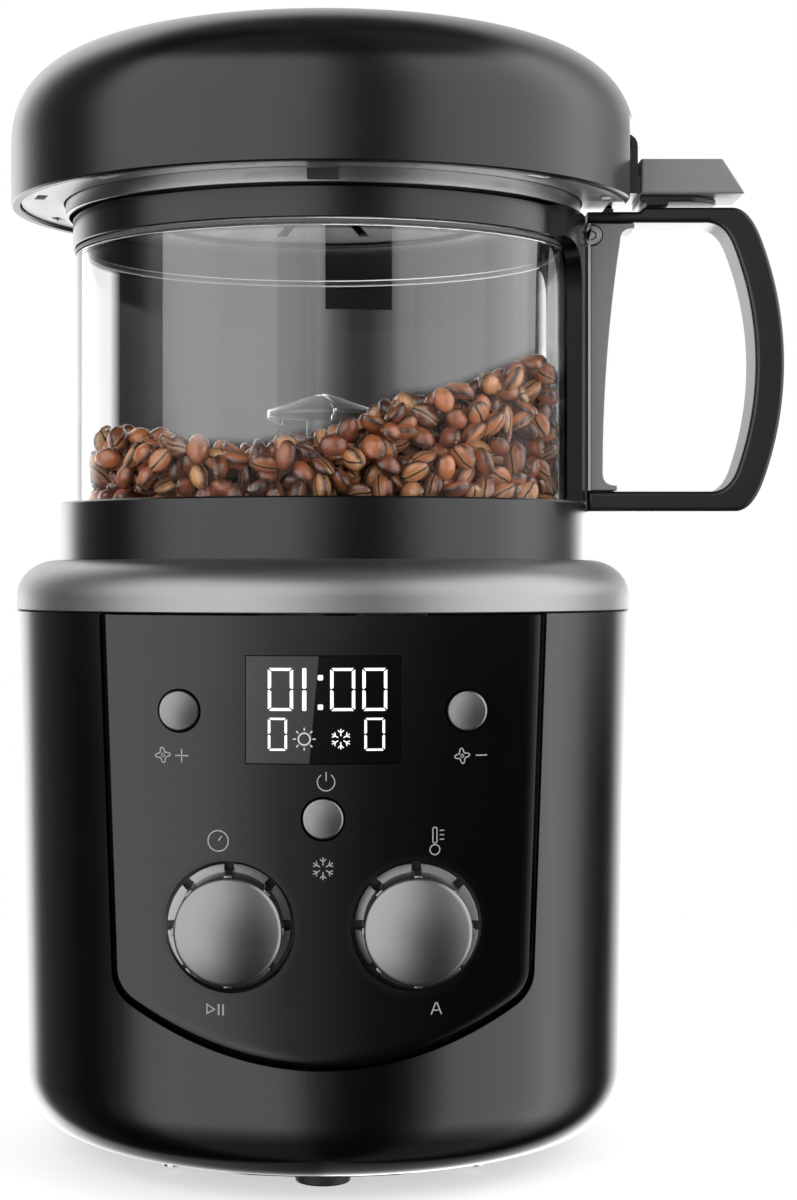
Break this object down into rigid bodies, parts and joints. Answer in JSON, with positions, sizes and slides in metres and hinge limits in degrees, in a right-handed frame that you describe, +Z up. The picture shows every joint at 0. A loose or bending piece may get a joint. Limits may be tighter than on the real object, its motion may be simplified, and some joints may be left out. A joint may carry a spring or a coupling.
{
  "type": "home coffee bean roaster",
  "caption": "Countertop hot-air coffee bean roaster: round base with display, buttons and knobs, lift-off glass jar with loop handle, domed hinged lid.",
  "frame": {"origin": "middle of the whole object's footprint box, on the surface that the feet stand on", "axes": "+Z up; -Y is the front with the controls; +X is the side with the handle and the lid's hinge"},
  "size_m": [0.2304, 0.1914, 0.3297],
  "materials": {
    "black_plastic": "satin-gloss black moulding",
    "panel_gloss": "gloss black",
    "display_smoke": "polished smoked acrylic",
    "dark_plastic": "fine matt black moulding",
    "circuit_board": "solder mask",
    "satin_silver": "satin",
    "satin_button": "satin",
    "steel": "brushed",
    "mica": "mica sheet",
    "rubber": "matt",
    "pale_seal": "translucent silicone",
    "satin_grey": "satin mid grey",
    "clear_glass": "clear"
  },
  "bodies": {
    "base": {"base_housing": "black_plastic", "control_fascia": "panel_gloss", "display_window": "display_smoke", "display_module": "dark_plastic", "control_board": "circuit_board", "top_ring": "satin_silver", "jar_seat": "dark_plastic", "air_grille": "steel", "heater_tube": "steel", "heater_frame": "mica", "heater_winding": "steel", "air_duct": "dark_plastic", "motor_cradle": "dark_plastic", "fan_motor": "steel", "bottom_cover": "dark_plastic", "power_board": "circuit_board", "cord_gland": "rubber", "foot_right": "rubber", "foot_back": "rubber", "foot_left": "rubber", "foot_front": "rubber", "bottom_screw_1": "steel", "bottom_screw_2": "steel", "bottom_screw_3": "steel", "bottom_screw_4": "steel", "timer_encoder": "steel", "temperature_encoder": "steel"},
    "fan": {"motor_shaft": "steel", "fan_impeller": "dark_plastic"},
    "fan_plus": {"fan_plus_button": "satin_button"},
    "fan_minus": {"fan_minus_button": "satin_button"},
    "power": {"power_button": "satin_button"},
    "timer_plunger": {"timer_sleeve": "dark_plastic"},
    "timer_knob": {"timer_rim": "satin_silver", "timer_cap": "satin_button", "timer_shaft": "steel"},
    "temperature_plunger": {"temperature_sleeve": "dark_plastic"},
    "temperature_knob": {"temperature_rim": "satin_silver", "temperature_cap": "satin_button", "temperature_shaft": "steel"},
    "jar": {"lower_collar": "black_plastic", "upper_collar": "black_plastic", "glass_cylinder": "clear_glass", "lower_glass_seal": "rubber", "upper_glass_seal": "pale_seal", "chamber_floor": "steel", "air_deflector": "steel", "handle_shell": "black_plastic", "handle_spine": "satin_grey", "handle_screw": "steel", "hinge_bracket": "satin_grey", "bracket_underplate": "dark_plastic", "hinge_yoke": "dark_plastic", "hinge_pin": "steel"},
    "lid": {"lid_shell": "black_plastic", "lid_underplate": "satin_silver", "lid_liner": "satin_silver", "filter_flange": "satin_silver", "chaff_filter": "steel", "lid_catch": "steel"}
  },
  "joints": [
    {"name": "jar_lift", "type": "slide", "parent": "base", "child": "jar", "axis": [0, 0, 1], "range_m": [0, 0.12]},
    {"name": "lid_hinge", "type": "hinge", "parent": "jar", "child": "lid", "pos_m": [0.0677, 0.0026, 0.2962], "axis": [0, 1, 0], "range_deg": [0, 90]},
    {"name": "fan_spin", "type": "hinge", "parent": "base", "child": "fan", "pos_m": [-0.0221, 0.0026, 0.05], "axis": [0, 0, 1], "continuous": true},
    {"name": "fan_plus_press", "type": "slide", "parent": "base", "child": "fan_plus", "axis": [0, 1, 0], "range_m": [0, 0.0012], "stiffness_N_per_m": 400},
    {"name": "fan_minus_press", "type": "slide", "parent": "base", "child": "fan_minus", "axis": [0, 1, 0], "range_m": [0, 0.0012], "stiffness_N_per_m": 400},
    {"name": "power_press", "type": "slide", "parent": "base", "child": "power", "axis": [0, 1, 0], "range_m": [0, 0.0012], "stiffness_N_per_m": 400},
    {"name": "timer_push", "type": "slide", "parent": "base", "child": "timer_plunger", "axis": [0, 1, 0], "range_m": [0, 0.001], "stiffness_N_per_m": 800},
    {"name": "timer_turn", "type": "hinge", "parent": "timer_plunger", "child": "timer_knob", "pos_m": [-0.0471, -0.07, 0.0754], "axis": [0, -1, 0], "continuous": true},
    {"name": "temperature_push", "type": "slide", "parent": "base", "child": "temperature_plunger", "axis": [0, 1, 0], "range_m": [0, 0.001], "stiffness_N_per_m": 800},
    {"name": "temperature_turn", "type": "hinge", "parent": "temperature_plunger", "child": "temperature_knob", "pos_m": [0.0029, -0.07, 0.0754], "axis": [0, -1, 0], "continuous": true}
  ]
}
